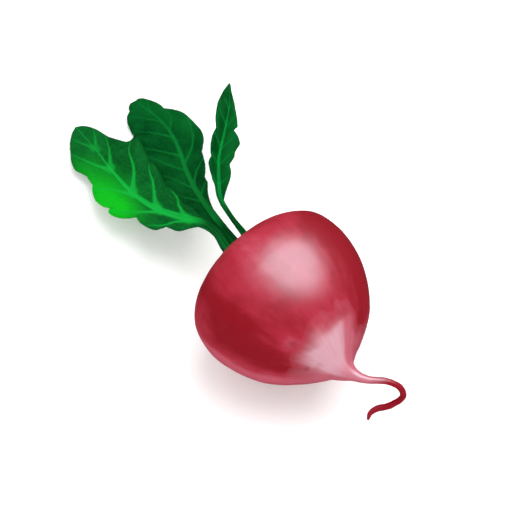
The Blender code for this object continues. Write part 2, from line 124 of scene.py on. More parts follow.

# Leaf design, as in the imported solids
# spine: x, y, z from the petiole's foot at the crown to the blade's tip.
# section: place along the spine, how the blade's right and left halves rise from the midrib
#   (degrees), and how each bends down further out (degrees per mm).
# rib: place along the spine, half width, depth below the blade, height above it.
# right, left: lobes of the margin from the blade's foot to its tip, each from notch to notch, as
#   points along the spine and across it. A lobe starts where the one before it ends.
# lean: how far forward the lobes and waves run for each mm across.
# wave: height and length of the margin's waves, and the offset of the left side's.
# The rest is looks, which the imported solids don't have:
# midrib: place along the spine, and half the width that shows as a pale rib.
# side_veins: points of each, from the midrib outwards.
# vein_width: half width of a side vein at its foot and its end, and how it flares at its foot.
# tones: lighter or darker spots, partly painted light and shade: along, across, reach both ways, and
#   how much.
# glow: painted light, bright yellow-green spots of lit leaf, given the same way.
LEAVES = {
    "leaf_front": {
        "spine": [
            (-16.6, -1.6, 24.95), (-20.6, -1.2, 24.75), (-26, 0.2, 23.75), (-31.5, 0.2, 21.55),
            (-39.4, -1.9, 17.4), (-49.3, -4.2, 12.9), (-60.2, -4.6, 8.8), (-72.9, -3.1, 5.1),
            (-85.8, -0.9, 2.2), (-96.4, 0, 0.7),
        ],
        "section": [
            (16, 0, 0, 0, 0), (26, 10, 9, 0.8, 0.8), (60, 16, 8, 1, 1.1), (74, 14, 7, 1, 1.1),
            (88, 4, 3, 0.5, 0.5),
        ],
        "rib": [
            (0, 1.6, 1.3, 0.8), (6, 1.4, 1.2, 0.8), (17, 1.3, 1.1, 0.7), (30, 1.1, 0.9, 0.15),
            (60, 0.8, 0.5, 0.05), (88, 0.5, 0.1, 0),
        ],
        "right": [
            [(16.5, 1.35), (20, 2.6), (24, 4.2), (28, 4.8)], [(31, 6.4), (36, 7.8), (40.5, 8)],
            [(44, 9.6), (50, 10.8), (55, 10.8)], [(59, 11.8), (64.5, 12.4), (68.6, 11.9), (69.4, 9.4)],
            [(71.2, 7.3), (74, 5.9), (78, 5), (82, 3.4), (84.2, 1.9), (84.9, 0.6)],
        ],
        "left": [
            [(16.5, -1.35), (19.5, -3), (22.5, -4.8), (27.6, -4.8)],
            [(30, -7.2), (34.8, -7.2), (38.6, -5.8)],
            [(40.5, -7.6), (43.5, -9.5), (46.2, -10.1), (46.8, -9)],
            [(48.8, -10.3), (53.5, -10.1), (57, -9.1), (58.6, -8)], [(61.4, -7.8), (64, -7.4)],
            [(66.4, -8.3), (68.6, -9.3), (72.5, -8.8), (79, -6), (83.6, -2.4), (84.9, -0.6)],
        ],
        "lean": 1,
        "wave": (0.9, 12.5, 2),
        "midrib": [(14, 1), (22, 1.3), (32, 1.05), (44, 0.75), (58, 0.48), (72, 0.22), (85, 0.12)],
        "vein_width": (0.7, 0.16, 1.4),
        "side_veins": [
            [(62.5, 0.2), (68.8, 3.2), (74.4, 5)], [(48, 0.2), (56, 5.5), (64.8, 8.4), (68.2, 10.6)],
            [(35.6, 0.2), (45, 6.4), (51, 8.8), (53.8, 10.1)],
            [(23.6, 0.2), (29, 3.8), (31, 5.6), (34.8, 7)],
            [(61.5, -0.1), (66, -3.2), (73, -6.5), (76.5, -7.2)],
            [(46.6, -0.1), (52.8, -3.8), (57.2, -7.8), (61, -8.6)],
            [(33.2, -0.1), (40.2, -4.8), (44.8, -8.8), (46, -10)],
            [(21.2, -0.1), (25.8, -2.5), (28, -4.6), (32.5, -6.9)],
            [(72.6, 0.1), (77.5, 2.6), (80.5, 3.8)], [(73.5, -0.1), (78, -2.4), (81, -3.6)],
        ],
        # Lighter and darker spots, partly painted light and shade.
        "tones_and_painted_light": [
            (76, 1, 9, 6, 0.1), (62, 6, 10, 5, -0.2), (50, 5, 7, 4, 0.05), (30, 4.5, 9, 4, -0.15),
            (26, -4.5, 5, 3, 0.1),
        ],
        # Painted light: bright patches of lit leaf.
        "painted_lit_patch": [
            (50, -8.6, 8, 4.6, 1), (63, -8.6, 8, 4, 0.45), (43, -6.5, 6, 4, 0.5),
            (54, -2.8, 12, 4.2, 0.38),
        ],
    },
    "leaf_back": {
        "spine": [
            (-16.6, 2, 23.35), (-21, 2.3, 23.05), (-27.4, 3.5, 21.05), (-36.8, 6.2, 16.4),
            (-49.1, 10.5, 9.5), (-59.4, 14.9, 5.1), (-65.8, 18, 3.6), (-73.1, 20.7, 2.2),
            (-80.6, 21.8, 1.4), (-86.8, 21.3, 1), (-91.8, 21, 0.7),
        ],
        "section": [
            (12, 0, -6, 0, 0), (22, 3, -7, 0.3, 0.2), (30, 9, 3, 0.8, 0.6), (58, 9, -2, 1, 0.1),
            (70, 7, 3, 0.8, 0.1), (78, 5, 3, 0.6, 0.4), (85, 2, 2, 0.3, 0.3),
        ],
        "rib": [
            (0, 1.6, 1.3, 0.8), (6, 1.4, 1.2, 0.8), (20, 1.3, 1.1, 0.7), (34, 1, 0.8, 0.15),
            (60, 0.8, 0.5, 0.05), (85, 0.5, 0.1, 0),
        ],
        "right": [
            [(22, 1.3), (27, 1.9), (32.5, 3), (37.5, 4.4), (40.8, 4.4)],
            [(43.6, 5.4), (48.5, 6.4), (53.8, 6.6)],
            [(57.5, 8.4), (62.4, 8.9), (67, 8), (71.8, 6), (74, 4.1)],
            [(76.6, 4.2), (79.5, 3.5), (82.2, 2.4), (83, 1.6)], [(83.3, 1.2), (83.4, 0.6)],
        ],
        "left": [
            [(12.6, -1.35), (16.5, -3), (20.5, -4.2), (25, -5.2), (30.5, -6.3), (34.5, -5.4)],
            [(38.5, -8), (44, -9), (48.5, -8.4)],
            [(53, -10.6), (59, -12.4), (65, -13.4), (69, -13.2), (69.8, -11.4)],
            [(71.6, -10.2), (75.2, -9.6), (78.4, -7.9), (80.8, -5.6), (81.4, -4.2)],
            [(82.8, -3.4), (83.6, -2), (83.4, -0.6)],
        ],
        "lean": 0.9,
        "wave": (0.8, 12, 3.1),
        "midrib": [(18, 0.8), (30, 0.8), (45, 0.68), (60, 0.55), (72, 0.4), (83, 0.16)],
        "vein_width": (0.5, 0.2, 0.25),
        "side_veins": [
            [(70.6, -0.1), (77.6, -4.5), (79.2, -6.2)], [(62.5, -0.1), (71.6, -7.6), (73.8, -9.2)],
            [(53.6, -0.1), (61, -7.8), (66, -11.4)], [(46.8, -0.1), (54.2, -7.6), (57.4, -10.2)],
            [(36, -0.1), (46.2, -5.8), (47.6, -7.2)], [(27, -0.1), (35, -5), (40, -7.6)],
            [(66, 0.1), (70.5, 3.5), (73.5, 3.8)], [(50, 0.1), (57.5, 4.8), (64.8, 6.8), (68.5, 7.8)],
            [(38.4, 0.1), (45, 3), (50, 6), (52.5, 7)], [(30.6, 0.1), (34.5, 2.2), (38.5, 4.4)],
            [(76.4, 0.1), (79, 1.6), (80.5, 2.6)],
        ],
        # Lighter and darker spots, partly painted light and shade.
        "tones_and_painted_light": [
            (68, 5, 12, 4.5, 0.35), (79, -1.5, 6, 4, 0.3), (38, 3, 9, 3, -0.25), (55, 7, 8, 3, -0.3),
            (44, -3, 9, 4.5, 0.2), (72, -5, 8, 4, -0.15),
        ],
        "painted_lit_patch": [],
    },
    "leaf_young": {
        "spine": [
            (-16.7, 4.3, 26.35), (-19.9, 4.7, 27.15), (-24.4, 4.9, 28.45), (-30.8, 5.9, 30.45),
            (-34.9, 8.7, 32.35), (-39.5, 12.7, 33.85), (-44.9, 19.4, 35.15), (-51.2, 26.7, 35.55),
            (-57.6, 32, 34.95),
        ],
        "section": [
            (10, 30, 30, 0, 0), (18, 42, 50, 1.5, 1.5), (36, 40, 52, 2.5, 2.2), (54, 30, 38, 2, 2),
        ],
        "rib": [
            (0, 1.1, 0.6, 0.5), (5, 0.85, 0.5, 0.4), (9, 0.65, 0.5, 0.4), (14, 0.75, 0.5, 0.3),
            (24, 0.75, 0.4, 0.05), (54, 0.45, 0.1, 0),
        ],
        "right": [
            [(14, 0.85), (17, 2.7), (21, 4.5), (24.2, 4.2)],
            [(26.2, 5.5), (28.4, 5.8), (30.6, 6.7), (33, 5.6), (35.6, 3.2)],
            [(36, 4.4), (38, 4.1), (43, 2.3), (48.6, 0.9), (52.6, 0.45)],
        ],
        "left": [
            [(12.6, -0.75), (14.8, -1.3), (18.5, -1.8), (22.4, -3.5), (24.6, -4), (26.6, -3.1)],
            [(28.4, -3.8), (32.2, -4.2), (35, -3.5)],
            [(38.4, -4.4), (43.6, -4.3), (48.8, -2.5), (52.6, -0.45)],
        ],
        "lean": 0.6,
        "wave": (0.45, 8, 1.2),
        "midrib": [(11, 0.7), (18, 0.92), (30, 0.74), (44, 0.36), (53, 0.14)],
        "vein_width": (0.38, 0.14, 0.5),
        "side_veins": [
            [(36.5, 0.1), (39.8, 3)], [(29.4, 0.1), (31.8, 2.8), (33.2, 4.4)],
            [(24.4, 0.1), (26.4, 3.2), (28.4, 5.4)], [(18.6, 0.1), (20.2, 3.2)],
            [(29.4, -0.1), (33.8, -4)], [(24.4, -0.1), (27.6, -3.4)], [(18, -0.1), (21.4, -3.8)],
            [(37.4, -0.1), (41.5, -3.8)], [(43, -0.1), (46.6, -2.6)], [(43, 0.1), (45.6, 1.6)],
        ],
        # Lighter and darker spots, partly painted light and shade.
        "tones_and_painted_light": [(30, 3, 12, 3.2, 0.45), (42, 1.8, 6, 2, 0.3), (32, -3.5, 14, 3, -0.1)],
        "painted_lit_patch": [],
    },
}

# Leaf surface
BLADE_THICKNESS, PETIOLE_THICKNESS = 0.46, 0.7
# The rounding of the blade's edge, and the most of the blade beside its rib that it may take up.
EDGE_ROUNDING, EDGE_SHARE = 0.22, 0.25
PETIOLE_ROUNDING_SHARE = 0.7
LEAST_HALF_THICKNESS = 0.03
PETIOLE_GROOVE = 0.6
FOOT_INTO_CROWN = 2.2
# How much the petiole widens at its foot, and over what length.
FOOT_FLARE, FOOT_FLARE_REACH = 0.2, 1.8
WAVE_FULL_AT = 10
# Keeps a half of the blade that doesn't bend from having no radius.
LEAST_BEND = 1e-6
SPINE_STEPS, LOBE_STEPS, VEIN_STEPS, BRANCH_STEPS = 24, 40, 8, 4
ROW_SPACING, NARROWEST_ROW = 0.32, 0.12
# Columns from the midrib to one margin: over the rib, over the blade, and round its edge.
RIB_COLUMNS, BLADE_COLUMNS, EDGE_COLUMNS = 9, 56, 6
# How many half widths of the rib the blade reaches where it begins to open, and where it is open.
OPENING_FROM, OPEN_AT = 1.3, 3.3
LEAST_BLADE = 1.02
# Raggedness of the margin: how far, over what length, and the half widths over which it grows.
MARGIN_RAGGEDNESS, RAGGEDNESS_LENGTH, RAGGED_WIDTHS = 0.1, 1.3, (2, 5)
# The blade swells between the side veins, between their branches, and in the meshes of the net,
# and less within this distance of its margin.
VEIN_QUILTING, BRANCH_QUILTING, NET_QUILTING = 0.3, 0.08, 0.05
VEIN_QUILTING_REACH, BRANCH_QUILTING_REACH = 1.5, 0.6
CALM_MARGIN = 1.2
# Height of a side vein over the blade and under it, and the share of it that a branch has.
RIDGE_ABOVE, RIDGE_BELOW, BRANCH_RIDGE = 0.07, 0.28, 0.5
# A side vein narrows and fades by these powers of the way along it, to this share of its strength.
# Its foot widens within a share of its length.
VEIN_TAPER, VEIN_FADING_POWER, VEIN_FADING, VEIN_FLARE_REACH = 0.7, 1.5, 0.45, 0.12
# How many half widths from its middle a side vein, or the midrib, starts to fade and is gone.
VEIN_EDGE, MIDRIB_EDGE = (0.5, 1.5), (0.6, 1.4)
# How far past the midrib (mm) a side vein's round foot fades out and is whole.
OWN_SIDE = (-0.4, 0.2)
# How much the midrib and veins fade near the tip, and between which shares of the length.
TIP_FADING, TIP_REACH = 0.5, (0.62, 0.9)
# Branches of a side vein: place along it, length as a share of the vein, and the side it leaves on.
VEIN_BRANCHES = [(0.3, 0.4, 1), (0.42, 0.36, -1), (0.56, 0.34, 1), (0.68, 0.3, -1), (0.8, 0.24, 1)]
BRANCH_HALF_WIDTH = (0.15, 0.07)
# The angle that a branch leaves at, its straight parts, and the share by which each bends forward.
BRANCH_ANGLE, BRANCH_PARTS, BRANCH_BEND = math.radians(48), 3, 0.2
# The share of the vein over which its heading is taken.
HEADING_REACH = 0.1
# The net: size of its meshes, how uneven they are, and how far to each side of the midrib it goes.
NET_CELL, NET_UNEVENNESS, NET_HALF_WIDTH = 1.5, 0.46, 15
# How wide the bends of its threads are, and how far they go.
NET_BENDS, NET_BEND_REACH = 0.9, 0.25
# How much nearer one mesh's middle is than the next where a thread fades out, and where the
# mesh's swelling is full.
THREAD_GAP, SWELLING_GAP = (0.16, 0.48), (0, 0.9)
# How many points the net is worked out for at once, and how many meshes past them it looks.
NET_POINTS_AT_ONCE, NET_MESHES_PAST = 4000, 3
# Where the petiole's colour turns into the blade's, from the blade's foot.
PETIOLE_END = (-3, 5)
MIDDLE_TONE = 0.5
# Seeds of the noise in each leaf and in its net
LEAF_SEED, LEAF_SEED_STEP, NET_SEED_STEP = 50, 10, 3

# Shared sums
LEAST_GAP = 1e-3
SEED_SPACING = 37


def smooth_curve(rows, steps, measured=3):
    """Points on a smooth curve through rows, whose first measured columns are lengths."""
    rows = np.asarray(rows, float)
    rows = np.vstack([2 * rows[0] - rows[1], rows, 2 * rows[-1] - rows[-2]])
    share = np.linspace(0, 1, steps, endpoint=False)[:, None]
    points = []
    for before, start, end, after in zip(rows, rows[1:], rows[2:], rows[3:]):
        gap_in, gap, gap_out = (
            max(math.sqrt(np.linalg.norm((b - a)[:measured])), LEAST_GAP)
            for a, b in ((before, start), (start, end), (end, after))
        )
        leave = (start - before) / gap_in - (end - before) / (gap_in + gap) + (end - start) / gap
        arrive = (end - start) / gap - (after - start) / (gap + gap_out) + (after - end) / gap_out
        points.append(
            (2 * share**3 - 3 * share**2 + 1) * start
            + (share**3 - 2 * share**2 + share) * gap * leave
            + (3 * share**2 - 2 * share**3) * end
            + (share**3 - share**2) * gap * arrive
        )
    return np.vstack(points + [rows[-2:-1]])


def distances_along(points):
    return np.concatenate([[0], np.cumsum(np.linalg.norm(np.diff(points, axis=0), axis=1))])


def unit(vectors):
    return vectors / np.linalg.norm(vectors, axis=-1, keepdims=True)


def columns_at(places, table_places, table):
    """Each column of a table read between its rows."""
    return np.stack([np.interp(places, table_places, column) for column in table.T], axis=-1)


def smoothstep(low, high, value):
    share = np.clip((value - low) / (high - low), 0, 1)
    return share * share * (3 - 2 * share)


def lumps(points, size, seed):
    """Smooth noise from about -1 to 1 at each point, whose lumps are about size across."""
    flat = np.reshape(points, (-1, 3)) / size + SEED_SPACING * seed
    values = np.array([noise.noise(Vector(point)) for point in flat.tolist()])
    return values.reshape(np.shape(points)[:-1])


def soft_spots(spots, along, across, apart=np.subtract):
    """Sum at each point of soft spots: place along and across, reach both ways, and how much."""
    total = np.zeros_like(along)
    for place, side, reach_along, reach_across, amount in spots:
        away = ((along - place) / reach_along) ** 2 + (apart(across, side) / reach_across) ** 2
        total += amount * np.exp(-away)
    return total


def placed(name, data):
    """A new object in the scene."""
    made = bpy.data.objects.new(name, data)
    bpy.context.scene.collection.objects.link(made)
    return made


def mesh_piece(name, points, faces, values, material):
    """A smooth mesh with per-point values for its material."""
    mesh = bpy.data.meshes.new(name)
    mesh.from_pydata((points * MM).tolist(), [], faces)
    for key, value in values.items():
        kind, field = ("FLOAT", "value") if value.ndim == 1 else ("FLOAT_VECTOR", "vector")
        data = mesh.attributes.new(key, kind, "POINT").data
        data.foreach_set(field, value.astype(np.float32).ravel())
    mesh.polygons.foreach_set("use_smooth", [True] * len(mesh.polygons))
    mesh.materials.append(material)
    mesh.update()
    return placed(name, mesh)


# Root


def root_rings():
    """Centre, radius, direction and distance along the axis of each ring of the root."""
    bulb = [(along, 0, AXIS_HEIGHT, radius) for along, radius in BULB_PROFILE]
    curve = smooth_curve(bulb + TAPROOT, ROOT_STEPS, measured=4)
    length = distances_along(curve)
    in_tail = length[np.argmax((curve[:, 0] > 0) & (curve[:, 3] < ROOT_SIDES[0][0]))]
    bulb_places = np.arange(0, in_tail, BULB_ROW_SPACING)
    tail_places = np.arange(in_tail, length[-1] - TAIL_ROW_SPACING / 2, TAIL_ROW_SPACING)
    rows = columns_at(np.concatenate([bulb_places, tail_places, length[-1:]]), length, curve)
    centres, radii = rows[:, :3], rows[:, 3]
    in_bulb = np.where(centres[:, 0] < 0, 1, smoothstep(*NECK_RADII, radii))[:, None]
    forward = unit(np.gradient(centres, axis=0) + LEAST_FORWARD)
    facing = in_bulb * (1, 0, 0) + (1 - in_bulb) * forward
    return centres, radii, unit(facing), distances_along(centres)


def root_grid():
    """How many points each ring has, and each point's place, facing, turn, distance and radius."""
    centres, radii, facing, run = root_rings()
    slope = np.gradient(radii, distances_along(np.c_[centres, radii]))
    up = np.array([0, 0, 1])
    rings = []
    for centre, radius, direction, lift, distance in zip(centres, radii, facing, slope, run):
        up = unit(up - direction * up.dot(direction))
        aside = np.cross(up, direction)
        sides = next(count for least, count in ROOT_SIDES if radius > least or centre[0] < 0)
        turn = 2 * math.pi * np.arange(sides) / sides
        swelling = sum(
            size * np.cos(lobes * turn + twist * centre[0] + start)
            for size, lobes, twist, start in ROOT_SWELLINGS
        )
        reach = radius * (1 + swelling * min(1, radius / SWELLING_FROM_RADIUS) ** 2)
        outward = np.cos(turn)[:, None] * up + np.sin(turn)[:, None] * aside
        normal = unit(outward * math.sqrt(max(1 - lift**2, 0)) - direction * lift)
        point = centre + reach[:, None] * outward
        rings.append((point, normal, turn, 0 * turn + distance, 0 * turn + radius))
    return [len(ring[0]) for ring in rings], *(np.concatenate(part) for part in zip(*rings))


def degrees_past(turn, angle):
    """How far each turn round the axis (radians) is past an angle (degrees), from -180 to 180."""
    return np.degrees(np.mod(turn - math.radians(angle) + math.pi, 2 * math.pi) - math.pi)


def around_root(turn, run, close_round, close_along):
    """Places for noise that runs round the root and along it."""
    return np.c_[np.cos(turn) * close_round, np.sin(turn) * close_round, run * close_along]


def scar_depth(along, turn, radius):
    """How far the side-root scars press into the skin, and how much each point belongs to one."""
    depth, cover = np.zeros((2, len(turn)))
    for place, angle, half_round, half_along, deep in ROOT_SCARS:
        round_by = radius * np.radians(degrees_past(turn, angle))
        reach = (round_by / half_round) ** 2 + ((along - place) / half_along) ** 2
        depth += deep * (np.exp(-reach) - SCAR_RIM * np.exp(-reach / SCAR_RIM_SPREAD))
        cover = np.maximum(cover, np.exp(-reach / SCAR_COLOUR_SPREAD))
    return depth, cover


def crown_relief(points, turn, radius):
    """Height of the crown round the petioles' feet, with its buds and old leaf scars."""
    size, tall = CROWN_LUMPS
    height = tall * lumps(points, size, CROWN_SEED)
    close, tall, waviness = CROWN_RINGS
    height = height + tall * np.sin(radius * close + waviness * np.sin(2 * turn))
    tall, start, fading = COLLAR
    for design in LEAVES.values():
        _, foot_y, foot_z = design["spine"][0]
        _, half_width, depth, above = design["rib"][0]
        middle = foot_z + (above - depth) / 2
        half_height = (above + depth + PETIOLE_THICKNESS) / 2
        away = np.hypot((points[:, 1] - foot_y) / half_width, (points[:, 2] - middle) / half_height)
        height = height + tall * np.exp(-(np.maximum(away - start, 0) ** 2) / fading)
    for place_y, place_z, half, tall in CROWN_BUDS:
        away = np.hypot(points[:, 1] - place_y, points[:, 2] - place_z) / half
        height = height + tall * np.exp(-(away**2))
    return height


def root_surface():
    """Points of the root with their relief, the values that its material reads, and ring sizes."""
    counts, points, normals, turn, run, radius = root_grid()
    height = sum(tall * lumps(points, size, seed) for seed, (size, tall) in enumerate(ROOT_LUMPS))
    height = height * smoothstep(0, LUMPS_FULL_AT, radius)
    furrows = lumps(around_root(turn, run, *FURROWS_CLOSE), 1, FURROW_SEED)
    at_neck = smoothstep(*NECK_FURROWS_RUN, run) * smoothstep(*NECK_FURROWS_RADII, radius)
    furrows = furrows * (at_neck + LEAST_FURROW) * smoothstep(*FURROW_RADII, radius)
    wrinkles = lumps(around_root(turn, run, *WRINKLES_CLOSE), 1, WRINKLE_SEED)
    wrinkles = wrinkles * smoothstep(*WRINKLES_RUN, run)
    depth, scar = scar_depth(points[:, 0], turn, radius)
    from_axis = np.hypot(points[:, 1], points[:, 2] - AXIS_HEIGHT)
    on_crown = points[:, 0] < CROWN_PLACE
    crown = on_crown * (1 - smoothstep(*CROWN_RELIEF_EDGE, from_axis))
    height = height + FURROW_HEIGHT * furrows + WRINKLE_HEIGHT * wrinkles - depth
    height = height + crown * crown_relief(points, turn, from_axis)
    points = points + normals * height[:, None]
    points[:, 2] = np.maximum(points[:, 2], 0)
    values = {
        "place": points,
        "around": around_root(turn, run, 1, 1),
        "run": run,
        # The tone paints the bulb's shade, the light bounced onto its underside and a paler spread round
        # its highlight, with one pale ring round a scar.
        "tone_and_painted_light": soft_spots(ROOT_PAINTED_LIGHT_AND_TONES, points[:, 0], turn, degrees_past),
        "pale": points[:, 0] - np.interp(degrees_past(turn, 0), *zip(*PALE_EDGE)),
        "rosy": smoothstep(*ROSY_BETWEEN, np.abs(degrees_past(turn, PALE_MIDDLE))),
        "scar": scar,
        "crown": on_crown * (1 - smoothstep(*CROWN_COLOUR_EDGE, from_axis)),
    }
    return points, values, counts


def root_faces(counts):
    """Faces between rings, where a ring may have a third of the points of the one before it."""
    faces = []
    starts = np.concatenate([[0], np.cumsum(counts)]).tolist()
    for first, second, count, following in zip(starts, starts[1:], counts, counts[1:]):
        for side in range(following):
            near, far = second + side, second + (side + 1) % following
            if count == following:
                faces.append((first + side, near, far, first + (side + 1) % count))
                continue
            a, b, c, d = (first + (3 * side + k) % count for k in range(4))
            faces += [(a, near, b), (b, near, far, c), (c, far, d)]
    return faces + [tuple(range(counts[0])), tuple(range(*starts[-2:]))[::-1]]


# Leaves


def read_veins(paths, along, across):
    """Distance from each point to the nearest vein, and how far a vein covers it, from 0 to 1.

    Each point of a path is its place along and across the leaf, half width and strength.
    """
    flat = np.c_[along.ravel(), across.ravel()]
    nearest = np.full(len(flat), np.inf)
    cover = np.zeros(len(flat))
    for start, end in (ends for path in paths for ends in zip(path, path[1:])):
        step = end[:2] - start[:2]
        share = np.clip((flat - start[:2]) @ step / (step @ step), 0, 1)
        away = np.hypot(*(flat - start[:2] - share[:, None] * step).T)
        half, strength = (start[column] + share * (end[column] - start[column]) for column in (2, 3))
        nearest = np.minimum(nearest, away)
        own_side = smoothstep(*OWN_SIDE, flat[:, 1] * np.sign(end[1]))
        cover = np.maximum(cover, own_side * strength * (1 - smoothstep(*VEIN_EDGE, away / half)))
    return nearest.reshape(along.shape), cover.reshape(along.shape)


def branches_of(path):
    """Fine veins that leave a side vein towards the margin and bend forward."""
    distance = distances_along(path)
    length = distance[-1]
    made = []
    for place, reach, side in VEIN_BRANCHES:
        start, ahead = columns_at([place, place + HEADING_REACH], distance / length, path)
        heading = math.atan2(*(ahead - start)[::-1])
        points = [start]
        for part in range(1, BRANCH_PARTS + 1):
            turned = heading + side * BRANCH_ANGLE * (1 - BRANCH_BEND * part)
            step = np.array([math.cos(turned), math.sin(turned)])
            points.append(points[-1] + reach * length / BRANCH_PARTS * step)
        curve = smooth_curve(points, BRANCH_STEPS, measured=2)
        size = np.linspace(*BRANCH_HALF_WIDTH, len(curve))
        made.append(np.c_[curve, size, np.linspace(1, VEIN_FADING, len(curve))])
    return made


class Leaf:
    """One leaf's surface, worked out from its design: a midrib with a blade that rises from it."""

    def __init__(self, name):
        self.design = LEAVES[name]
        self.seed = LEAF_SEED + LEAF_SEED_STEP * list(LEAVES).index(name)
        self.spine = smooth_curve(self.design["spine"], SPINE_STEPS)
        self.places = distances_along(self.spine)
        self.length = self.places[-1]
        self.forward = unit(np.gradient(self.spine, self.places, axis=0))
        self.blade_from = min(self.design["right"][0][0][0], self.design["left"][0][0][0])
        self.side_veins = [self.side_vein(points) for points in self.design["side_veins"]]

    def table(self, key, places):
        """The columns of one of the design's tables, read at places along the midrib."""
        rows = np.asarray(self.design[key], float)
        return np.moveaxis(columns_at(places, rows[:, 0], rows[:, 1:]), -1, 0)

    def side_vein(self, points):
        """A side vein's path, with its half width and how strongly it shows, both less at its end."""
        path = smooth_curve(points, VEIN_STEPS, measured=2)
        wide, narrow, flare = self.design["vein_width"]
        share = distances_along(path) / distances_along(path)[-1]
        width = wide + (narrow - wide) * share**VEIN_TAPER
        width = width * (1 + flare * np.exp(-share / VEIN_FLARE_REACH))
        near_tip = TIP_FADING * smoothstep(*TIP_REACH, path[0, 0] / self.length)
        return np.c_[path, width, (1 - VEIN_FADING * share**VEIN_FADING_POWER) * (1 - near_tip)]

    def surface(self, along, across, relief):
        """The middle of the blade's thickness, with its waves and the relief upon it."""
        forward = unit(columns_at(along, self.places, self.forward))
        beyond = np.maximum(along - self.length, 0) + np.minimum(along, 0)
        point = columns_at(along, self.places, self.spine) + forward * beyond[..., None]
        sideways = unit(np.cross(forward, (0, 0, 1)))
        upward = np.cross(sideways, forward)
        section = np.radians(self.table("section", along))
        rise, bend = np.where(across > 0, section[::2], section[1::2])
        bend = bend + LEAST_BEND
        out = np.abs(across)
        height, length, offset = self.design["wave"]
        turn = 2 * math.pi * (along - self.design["lean"] * out + np.where(across < 0, offset, 0)) / length
        waves = height * (out / WAVE_FULL_AT) ** 2 * np.sin(turn)
        sideways_reach = np.sign(across) * (np.sin(rise) - np.sin(rise - bend * out)) / bend
        upward_reach = (np.cos(rise - bend * out) - np.cos(rise)) / bend + waves + relief
        return point + sideways * sideways_reach[..., None] + upward * upward_reach[..., None]

    def margin(self, side):
        """Points of one margin, the place on the midrib that each is reached from, and the notches."""
        lobes, start = [], []
        for lobe in self.design[side]:
            lobes.append(smooth_curve(start + lobe, LOBE_STEPS, measured=2))
            start = lobe[-1:]
        lean = self.design["lean"]
        reached = [lobe[[0, -1], 0] - lean * np.abs(lobe[[0, -1], 1]) for lobe in lobes]
        reached[0][0] = lobes[0][0][0]
        reached[-1][1] = self.length
        stations = []
        for lobe, (first, last) in zip(lobes, reached):
            share = distances_along(lobe)
            stations.append(first + (last - first) * share / share[-1])
        return np.vstack(lobes), np.concatenate(stations), [first for first, _ in reached]

    def rows(self):
        """Places on the midrib where the leaf gets a row of points, the notches among them."""
        notches = sorted(set(self.margin("right")[2] + self.margin("left")[2] + [self.length]))
        places = [-FOOT_INTO_CROWN]
        for place in notches:
            gap = place - places[-1]
            if gap >= NARROWEST_ROW:
                count = max(1, round(gap / ROW_SPACING))
                places += list(places[-1] + gap * np.arange(1, count + 1) / count)
        return np.array(places)

    def rib(self, places):
        """Half width, depth and height of the midrib, which are larger near the petiole's foot."""
        flare = 1 + FOOT_FLARE * np.exp(-np.maximum(places, 0) / FOOT_FLARE_REACH)
        return self.table("rib", places) * flare

    def half_grid(self, places, side):
        """Rows of points from the midrib to one margin: along, across, from the edge, how open."""
        sign = 1 if side == "right" else -1
        rib_width = self.rib(places)[0]
        margin, stations, _ = self.margin(side)
        edge_along, edge_across = columns_at(places, stations, np.abs(margin)).T
        ragged = lumps(np.c_[places, places * 0, places * 0], RAGGEDNESS_LENGTH, self.seed + sign)
        edge_across = edge_across + MARGIN_RAGGEDNESS * ragged * smoothstep(*RAGGED_WIDTHS, edge_across)
        in_petiole = places <= stations[0]
        edge_along = np.where(in_petiole, places, edge_along)
        edge_across = np.where(in_petiole, rib_width, np.maximum(edge_across, LEAST_BLADE * rib_width))
        reach, width = edge_across[:, None], rib_width[:, None]
        opened = np.clip((reach / width - OPENING_FROM) / (OPEN_AT - OPENING_FROM), 0, 1)
        edge = np.minimum(EDGE_ROUNDING, EDGE_SHARE * (reach - width))
        rib_part = width * np.linspace(0, 1, RIB_COLUMNS)
        blade_part = width + (reach - edge - width) * np.linspace(0, 1, BLADE_COLUMNS + 1)[1:]
        edge_part = reach - edge * (1 - np.sin(np.linspace(0, math.pi / 2, EDGE_COLUMNS + 1)[1:]))
        open_part = np.hstack([rib_part, blade_part, edge_part])
        closed_part = reach * np.sin(np.linspace(0, math.pi / 2, open_part.shape[1]))
        across = (1 - opened) * closed_part + opened * open_part
        along = places[:, None] + (edge_along - places)[:, None] * across / reach
        return along, sign * across, reach - across, np.broadcast_to(opened, across.shape)

    def net(self, along, across):
        """The fine net between the veins: how near its threads are, and the height of its meshes."""
        rng = np.random.default_rng(self.seed)
        rows = np.arange(0, self.length + NET_CELL, NET_CELL)
        columns = np.arange(-NET_HALF_WIDTH, NET_HALF_WIDTH + NET_CELL, NET_CELL)
        middles = np.stack(np.meshgrid(rows, columns, indexing="ij"), axis=-1).reshape(-1, 2)
        middles = middles + rng.uniform(-NET_UNEVENNESS, NET_UNEVENNESS, middles.shape) * NET_CELL
        flat = np.c_[along.ravel(), across.ravel()]
        bends = lumps(np.c_[flat, 0 * flat[:, 0]], NET_BENDS, self.seed + NET_SEED_STEP)
        flat = flat + NET_BEND_REACH * np.c_[bends, -bends]
        gaps = []
        for first in range(0, len(flat), NET_POINTS_AT_ONCE):
            part = flat[first : first + NET_POINTS_AT_ONCE]
            reach = np.ptp(part[:, 0]) / 2 + NET_MESHES_PAST * NET_CELL
            near = middles[np.abs(middles[:, 0] - part[:, 0].mean()) < reach]
            away = ((part[:, None, :] - near[None, :, :]) ** 2).sum(-1)
            two = np.sqrt(np.partition(away, 1, axis=1)[:, :2])
            gaps.append(two[:, 1] - two[:, 0])
        gap = np.concatenate(gaps).reshape(along.shape)
        return 1 - smoothstep(*THREAD_GAP, gap), smoothstep(*SWELLING_GAP, gap)

